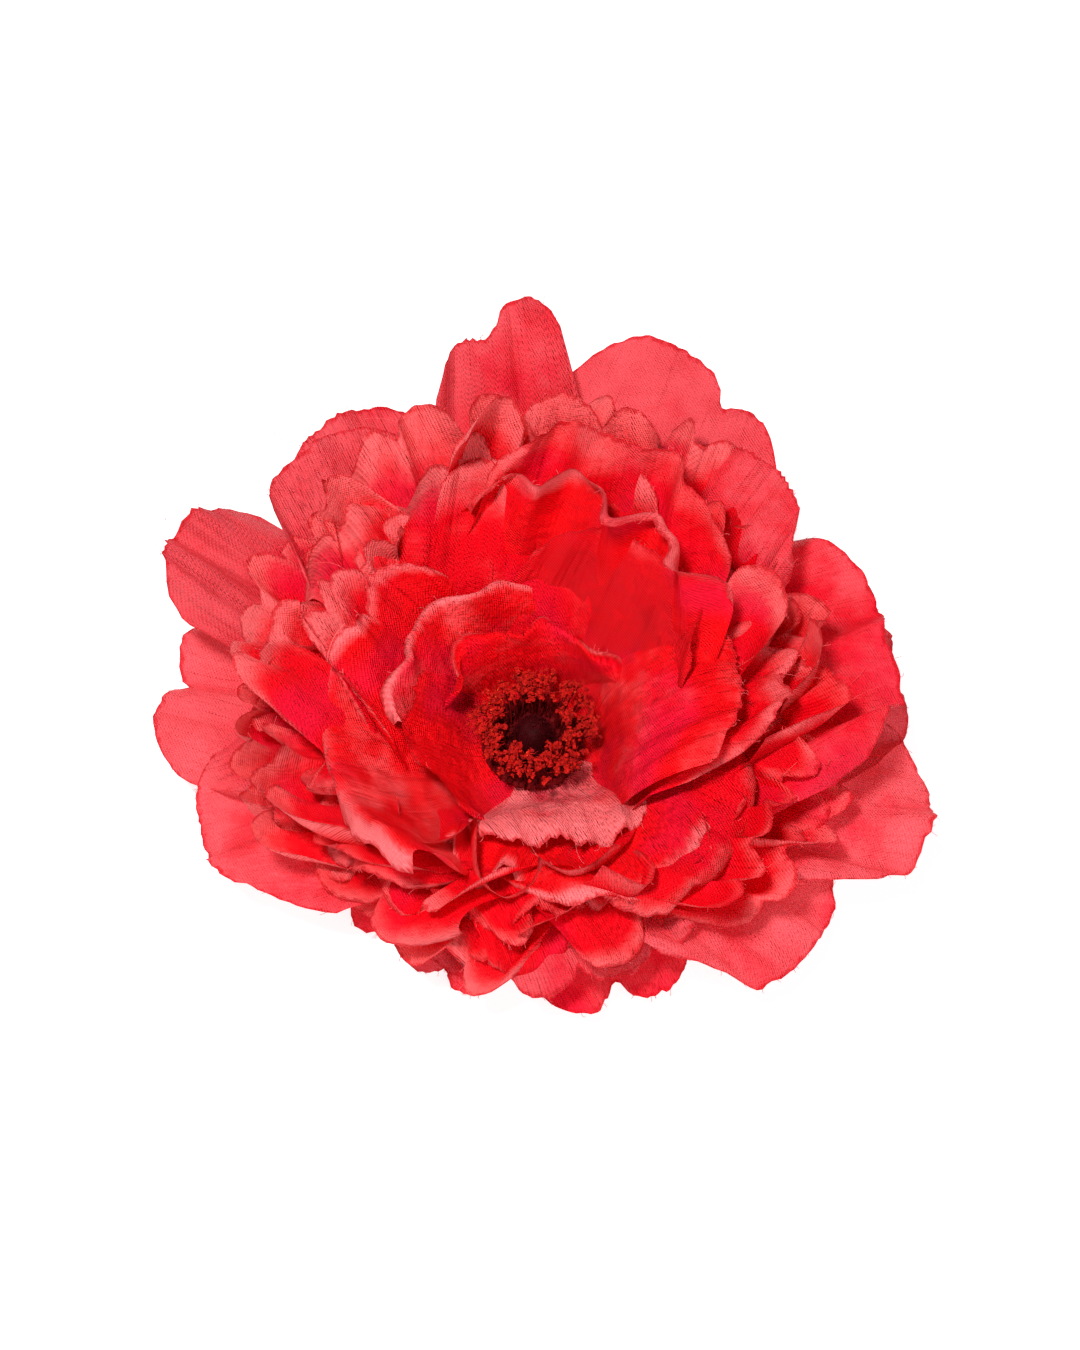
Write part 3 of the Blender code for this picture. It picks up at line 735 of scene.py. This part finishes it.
def bloom():
    cloths = {name: satin(name.replace("_", " "), **look) for name, look in SATINS.items()}
    # each layer: its node, its petals, what they share, the seed of the first, and its slot
    layers = [
        ("guard_petals_lower", GUARD_LOWER, {}, 11, "guard_satin"),
        ("guard_petals_middle", GUARD_MIDDLE, {}, 21, "guard_satin"),
        ("guard_petals_upper", GUARD_UPPER, {}, 31, "guard_satin"),
    ]
    for level in range(len(FRILL_TURNS)):
        seed = 1100 + 100 * level
        layers.append((f"frill_petals_{level + 1}", *frill(level), seed, "petal_satin"))
    layers += [
        ("cup_petals_outer", CUP_OUTER, dict(hub=12, ragged=0.3), 411, "petal_satin"),
        ("cup_petals_middle", CUP_MIDDLE, dict(hub=11.6, ragged=0.4), 421, "heart_satin"),
        ("cup_petals_inner", CUP_INNER, dict(hub=11.2, spoon=0, side_curl=0), 431, "heart_satin"),
        ("heart_petals", HEART, dict(hub=10.6, spoon=0, side_curl=0), 441, "heart_satin"),
    ]
    for node, petals, shared, seed, slot_name in layers:
        hub_z = low(node).z + 0.1 if node != "guard_petals_lower" else FELT_TOP + 1.5
        base_width = 2 * STEM_RADIUS * tan(pi / len(petals))
        specs = [SimpleNamespace(**{**PETAL, **shared, **given}) for given in petals]
        for i, spec in enumerate(specs):
            spec.base_width, spec.seed = base_width, seed + i
        petal_layer(node, hub_z, specs, cloths[slot_name])


# ---- stamens, pod, felt, glue, spring

def piece(name, built, body, node, slot_name, material):
    """One mesh of what a Builder has collected, attached to a body in place of a CAD node, which is
    hidden.
    """
    mesh = bpy.data.meshes.new(name)
    mesh.from_pydata([tuple(p) for p in np.asarray(built.points) * MM], [], built.faces)
    add_values(mesh, "raised", built.raised)
    # the stamens' crumbs look crisper with flat faces
    if slot_name != "stamen":
        mesh.shade_smooth()
    mesh.materials.append(material)
    made = add_object(name, mesh)
    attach(made, body)
    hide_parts(node)
    return made


def skin(rings, sides, downwards=False):
    """Faces of a closed tube made of rings of points, which run up along it, or down."""
    faces = []
    for i in range(rings - 1):
        for k in range(sides):
            a, b = i * sides + k, i * sides + (k + 1) % sides
            if downwards:
                faces.append((a, a + sides, b + sides, b))
            else:
                faces.append((a, b, b + sides, a + sides))
    first, last = tuple(range(sides)), tuple(range((rings - 1) * sides, rings * sides))
    return faces + ([first, last[::-1]] if downwards else [first[::-1], last])


class Builder:
    """Collects tubes and lumps into one list of points, in millimetres, and one of faces; raised says
    how far each point stands out of its flock's dark core."""

    def __init__(self):
        self.points, self.faces, self.raised = [], [], []

    def add(self, points, faces, raised):
        start = len(self.points)
        self.points.extend(np.asarray(points))
        self.faces.extend([tuple(start + i for i in face) for face in faces])
        self.raised.extend(np.broadcast_to(raised, len(points)))

    def tube(self, path, radii, sides, raised):
        """A closed tube along a path, with one radius or one for each point."""
        path = np.asarray(path, float)
        ahead = np.gradient(path, axis=0)
        ahead /= norm(ahead, axis=1)[:, None]
        side = np.cross(ahead, (0.31, 0.12, 0.94))
        side /= norm(side, axis=1)[:, None]
        other = np.cross(ahead, side)
        angle = (np.arange(sides) * tau / sides)[None, :, None]
        ring = np.cos(angle) * side[:, None] + np.sin(angle) * other[:, None]
        points = path[:, None] + ring * np.broadcast_to(radii, len(path))[:, None, None]
        self.add(points.reshape(-1, 3), skin(len(path), sides), raised)

    def lump(self, place, size, rng, rough, raised):
        """A crumb: a small ball whose every point is pushed in or out."""
        directions, faces = BALL
        push = 1 + rough * rng.uniform(-1, 1, len(directions))
        stretch = rng.uniform(0.75, 1.3, 3)
        self.add(np.asarray(place) + directions * push[:, None] * stretch * size, faces, raised)


def ball_template():
    bm = bmesh.new()
    bmesh.ops.create_icosphere(bm, subdivisions=2, radius=1)
    directions = np.array([v.co[:] for v in bm.verts])
    faces = [tuple(v.index for v in f.verts) for f in bm.faces]
    bm.free()
    return directions, faces


BALL = ball_template()


def polar(radius, azimuth, z):
    return np.array([radius * cos(azimuth), radius * sin(azimuth), z])


def stamen_ring(node, material, seed, count, inner, outer, rise):
    """A bound ring of threads that bend outwards, each with a crumbly flocked head."""
    rng = np.random.default_rng(seed)
    made = Builder()
    base_z = low(node).z
    for i in range(count):
        azimuth = tau * (i + rng.uniform(-0.5, 0.5)) / count
        # heads gather in clumps, with gaps between
        azimuth += 0.10 * sin(7 * azimuth + seed)
        start = polar(rng.uniform(*inner), azimuth, base_z + 0.2)
        tip_azimuth = azimuth + rng.uniform(-0.22, 0.22)
        tip = polar(rng.uniform(*outer), tip_azimuth, base_z + rng.uniform(*rise))
        knee = start * 0.45 + tip * 0.55 + (0, 0, 1.6) - polar(0.8, azimuth, 0)
        share = np.linspace(0, 1, 7)[:, None]
        path = (1 - share) ** 2 * start + 2 * share * (1 - share) * knee + share**2 * tip
        made.tube(path, np.linspace(0.17, 0.13, 7), 5, 0.15)
        for _ in range(int(rng.integers(5, 9))):
            place = tip + rng.normal(0, 0.46, 3)
            made.lump(place, rng.uniform(0.17, 0.40), rng, 0.6, rng.uniform(0.5, 1.0))
        for _ in range(3):
            end = tip + rng.normal(0, 0.8, 3)
            middle = (tip + end) / 2 + rng.normal(0, 0.15, 3)
            made.tube([tip, middle, end], (0.07, 0.05, 0.03), 3, 1.0)
    # lumps of flock hide the seat the threads are bound on
    collar = [(radius, 0.45) for radius in np.linspace(inner[0] - 0.6, inner[1] + 1.2, 4)]
    if node == "stamens_outer":
        collar += [(8.2, -0.3), (8.2, -0.9)]
    for azimuth in np.linspace(0, tau, 46, endpoint=False):
        for radius, above in collar:
            place = polar(radius, azimuth + rng.uniform(-0.05, 0.05), base_z + above)
            made.lump(place, 0.6, rng, 0.35, 0.05)
    piece(node + "_threads", made, FLOWER, node, "stamen", material)


def pod_dome(material):
    """A flocked foam dome with a dimple, furred all over."""
    rng = np.random.default_rng(71)
    made = Builder()
    bottom, top = low("seed_pod").z, high("seed_pod").z - 0.5
    radius = high("seed_pod").x - 0.35
    rows, columns, hairs = 22, 40, 900
    points = []
    for lean in np.linspace(0, 1, rows) * pi / 2:
        r = radius * sin(lean) ** 0.8
        z = top - (top - bottom) * (1 - cos(lean)) ** 0.9
        for k in range(columns):
            angle = tau * k / columns
            wobble = 1 + 0.04 * sin(5 * angle + 2 * z) + 0.03 * rng.uniform(-1, 1)
            points.append(polar(r * wobble, angle, z - 0.5 * exp(-((r / 1.3) ** 2))))
    faces = skin(rows, columns, downwards=True)
    del faces[-2]       # the dome's first ring is a single place and needs no face
    made.add(points, faces, 0.2)
    middle = np.array([0, 0, bottom + 1.5])
    for i in rng.integers(columns, len(points), hairs):
        root = points[i]
        out = (root - middle) / norm(root - middle)
        end = root + out * 0.6 + rng.normal(0, 0.12, 3)
        made.tube([root, root + out * 0.3, end], (0.07, 0.05, 0.02), 3, 0.9)
    piece("seed_pod_flock", made, FLOWER, "seed_pod", "pod", material)


def felt_piece(node, outline, material, seed):
    """A felt cutting with a soft, slightly uneven edge and loose fibres along it."""
    rng = np.random.default_rng(seed)
    made = Builder()
    bottom, top = low(node).z, high(node).z
    outline = np.asarray(outline)
    count, fibres = len(outline), 260
    outline = outline * (1 + 0.003 * rng.uniform(-1, 1, count))[:, None]
    centre = outline.mean(axis=0)
    # rings from the middle of the top, over the soft edge, to the middle underneath
    inner = (0.0, 0.35, 0.7, 0.92)
    shells = [(share, top) for share in inner]
    shells += [(0.985, top - 0.12), (1.0, (top + bottom) / 2), (0.985, bottom + 0.12)]
    shells += [(share, bottom) for share in inner[::-1]]
    points = []
    for share, z in shells:
        for place in outline:
            x, y = centre + (place - centre) * max(share, 0.004)
            points.append((x, y, z + rng.uniform(-0.05, 0.05)))
    made.add(points, skin(len(shells), count, downwards=True), 0.2)
    for i in rng.integers(0, count, fibres):
        root = np.array([*outline[i], rng.uniform(bottom + 0.2, top - 0.2)])
        out = np.array([*(outline[i] - centre), 0])
        out /= norm(out)
        reach = rng.uniform(0.3, 1.0)
        end = root + out * reach + rng.normal(0, 0.25, 3)
        made.tube([root, (root + end) / 2 + rng.normal(0, 0.12, 3), end], (0.035, 0.03, 0.02), 3, 0.8)
    cloth = piece(node + "_felt", made, FLOWER, node, "felt", material)


def rounded_outline(low_corner, high_corner, radius, steps=7, along=10):
    """Points round a rectangle with rounded corners, anticlockwise."""
    (x0, y0), (x1, y1) = low_corner + radius, high_corner - radius
    centres = np.array([(x1, y1), (x0, y1), (x0, y0), (x1, y0)])
    points = []
    for quarter, centre in enumerate(centres):
        angle = np.radians(90 * quarter + np.linspace(0, 90, steps + 1))
        arc = radius * np.stack([np.cos(angle), np.sin(angle)], axis=1)
        following = centres[(quarter + 1) % 4]
        points += [*(centre + arc), *np.linspace(centre + arc[-1], following + arc[-1], along + 1)[1:-1]]
    return points


GLUE_STRING = ((14, 3.4, 10.5), (17, 5.2, 10.2), (21, 6.4, 9.7), (24, 6.2, 9.6))


def glue_bead(material):
    """A run of hot glue pressed flat while it set: lobed edges, a crowned back, a pulled string."""
    rng = np.random.default_rng(83)
    low_end, high_end = low("glue_pad"), high("glue_pad")
    made = Builder()
    steps, columns = 90, 14
    length = high_end.x - low_end.x
    points = []
    for i in range(steps + 1):
        share = i / steps
        taper = sqrt(max(0.0, 1 - (2 * share - 1) ** 8))
        wave = 1 - 0.10 * (1 + sin(share * 31 + 1)) / 2 - 0.05 * rng.uniform()
        half = max(high_end.y * taper * wave, 0.05)
        thick = (high_end.z - low_end.z) / 2 * max(taper, 0.1)
        middle = (high_end.z + low_end.z) / 2
        for k in range(columns):
            angle = tau * k / columns
            bow = copysign(abs(sin(angle)) ** 0.5, sin(angle))
            points.append((low_end.x + length * share, half * cos(angle), middle + thick * bow))
    made.add(points, skin(steps + 1, columns), 0.0)
    made.tube(GLUE_STRING, (0.16, 0.08, 0.05, 0.10), 6, 0.0)
    piece("glue_bead", made, FLOWER, "glue_pad", "glue", material)


SPRING_WIRE = 0.45          # radius of the wire
SPRING_COIL = 2.0           # radius of the coil's middle line
SPRING_TURNS = 3


def spring_pieces(material):
    """The spring at rest, in two pieces that meet on the coil; the lower leg turns with the jaw."""
    bottom, top = low("torsion_spring"), high("torsion_spring")
    axis = (low("pivot_pin") + high("pivot_pin")) / 2
    half = top.y - SPRING_WIRE
    end_x = top.x - 0.05
    ends = {-1: np.array([end_x, bottom.z + SPRING_WIRE]), 1: np.array([end_x, top.z - SPRING_WIRE])}

    def leaving(side):
        """The angle on the coil at which the leg on this side leaves it."""
        away = ends[side] - (axis.x, axis.z)
        return atan2(away[1], away[0]) + side * acos(SPRING_COIL / norm(away))

    start = leaving(-1)
    turn = -(tau - (leaving(1) - start)) - tau * SPRING_TURNS

    def on_coil(share):
        angle = start + turn * share
        x, z = axis.x + SPRING_COIL * cos(angle), axis.z + SPRING_COIL * sin(angle)
        return (x, half * (2 * share - 1), z)

    def wire(coil_shares, side):
        """A stretch of the coil, and the leg that goes on from its end."""
        path = [on_coil(share) for share in coil_shares]
        leg_end = (ends[side][0], side * half, ends[side][1])
        path += [*np.linspace(path[-1], leg_end, 12)[1:]]
        made = Builder()
        made.tube(path, SPRING_WIRE, 12, 0.0)
        return made

    upper = wire(np.linspace(0.0, 1, 150), 1)
    piece("spring_coil", upper, FLOWER, "torsion_spring", "steel", material)
    lower = wire(np.linspace(0.06, 0, 10), -1)
    piece("spring_lower_leg", lower, JAW, "torsion_spring", "steel", material)


def heart():
    stamen = flock(
        "flocked stamens", base=(0.10, 0.001, 0.002), tip=(0.46, 0.008, 0.005), painted_glint=(0.98, 0.16, 0.02),
        painted_glint_share=0.03, scale=900,
    )
    # the pod's dark maroon is darkened nearly to black: painted shade of the hollow at the flower's heart
    pod = flock(
        "flocked pod", base=(0.028, 0.0, 0.001), tip=(0.08, 0.001, 0.003), painted_glint=(0.3, 0.01, 0.01),
        painted_glint_share=0.0, scale=700,
    )
    stamen_ring("stamens_outer", stamen, 61, 92, inner=(6.2, 7.6), outer=(8.2, 11.2), rise=(6.6, 8.2))
    stamen_ring("stamens_inner", stamen, 62, 58, inner=(4.9, 5.8), outer=(5.6, 8.2), rise=(7.0, 8.8))
    pod_dome(pod)


def back():
    felt = felt_cloth()
    radius = high("felt_disc").x - 0.15
    circle = [polar(radius, angle, 0)[:2] for angle in np.linspace(0, tau, 120, endpoint=False)]
    felt_piece("felt_disc", circle, felt, 91)
    start, end = low("felt_lock_patch"), high("felt_lock_patch")
    patch = rounded_outline(np.array(start.xy), np.array(end.xy), 1.5)
    felt_piece("felt_lock_patch", patch, felt, 92)
    glue = moulded(
        "hot glue", pale=(0.86, 0.80, 0.62), dark=(0.80, 0.72, 0.52), roughness=0.28, through=0.5,
        scale=300,
    )
    glue_bead(glue)


def clip_and_mouldings():
    steel = nickel()
    spring_pieces(steel)
    plastic = moulded(
        "natural polythene", pale=(0.80, 0.78, 0.71), dark=(0.74, 0.71, 0.62), roughness=0.40,
        through=0.35, scale=260,
    )
    for node in ("clip_upper_arm", "clip_lower_arm", "pivot_pin"):
        paint(node, steel)
    for node in ("stem_plug", "petal_spacer_1", "petal_spacer_2", "petal_spacer_3", "stamen_seat"):
        paint(node, plastic)


def paint(node, material):
    """Gives a carried-over CAD piece its material."""
    for slot in bpy.data.objects[node].material_slots:
        slot.link = "DATA"
        slot.material = material


# ---- camera and lighting

CAMERA_DISTANCE = 600
CAMERA_RISE = 60            # degrees over the table
LENS = 89.6
AIM = (1.25, 8.2, 37.7)     # what the middle of the picture looks at
FLOOR_HALF = 12.0           # metres from the middle of the floor to its sides
WALL_TOP = (0.22, 0.34)     # heights on a unit sphere between which the walls fade to the ceiling
WALL, CEILING = 1.0, 0.08   # how bright they are
LIGHTS = (
    # name, place and size in metres, watts
    ("key", (-0.16, -0.16, 0.84), 0.15, 9.8),
    ("fill", (0.3, -0.6, 0.6), 0.5, 3.0),
)
LIT_PLACE = Vector((0, 0, 0.03))


def add_floor():
    """A pale matt floor that glows a little, which keeps it white round the shadows."""
    mesh = bpy.data.meshes.new("floor")
    corners = [(x * FLOOR_HALF, y * FLOOR_HALF, 0) for x, y in ((-1, -1), (1, -1), (1, 1), (-1, 1))]
    mesh.from_pydata(corners, [], [(0, 1, 2, 3)])
    n = Nodes("pale floor")
    n.set("Base Color", (0.50, 0.50, 0.50))
    n.set("Roughness", 0.9)
    n.set("Specular IOR Level", 0.1)
    n.set("Emission Color", (1, 1, 1))
    n.set("Emission Strength", 0.80)
    mesh.materials.append(n.owner)
    floor = add_object("floor", mesh)


def add_camera():
    data = bpy.data.cameras.new("camera")
    data.lens = LENS
    data.clip_end = 20
    camera = add_object("camera", data)
    rise = radians(CAMERA_RISE)
    away = Vector((0, -cos(rise), sin(rise)))
    camera.location = (Vector(AIM) + away * CAMERA_DISTANCE) * MM
    camera.rotation_euler = away.to_track_quat("Z", "Y").to_euler()
    SCENE.camera = camera


def add_walls():
    """White surroundings with a dim ceiling."""
    n = Nodes("studio", bpy.data.worlds)
    direction = n.fill(n.node("SeparateXYZ"), {0: n.node("TexCoord").outputs["Generated"]})
    n.set("Color", (1.0, 1.0, 1.0))
    n.set("Strength", n.filled("MapRange", direction.outputs["Z"], *WALL_TOP, WALL, CEILING))
    SCENE.world = n.owner


def add_lights():
    for name, place, size, watts in LIGHTS:
        data = bpy.data.lights.new(name, "AREA")
        data.shape = "DISK"
        data.size = size
        data.energy = watts
        light = add_object(name, data)
        light.location = place
        light.rotation_euler = (Vector(place) - LIT_PLACE).to_track_quat("Z", "Y").to_euler()


bloom()
heart()
back()
clip_and_mouldings()
add_floor()
add_camera()
add_walls()
add_lights()
SCENE.view_settings.view_transform = "Standard"
SCENE.cycles.diffuse_bounces = 8
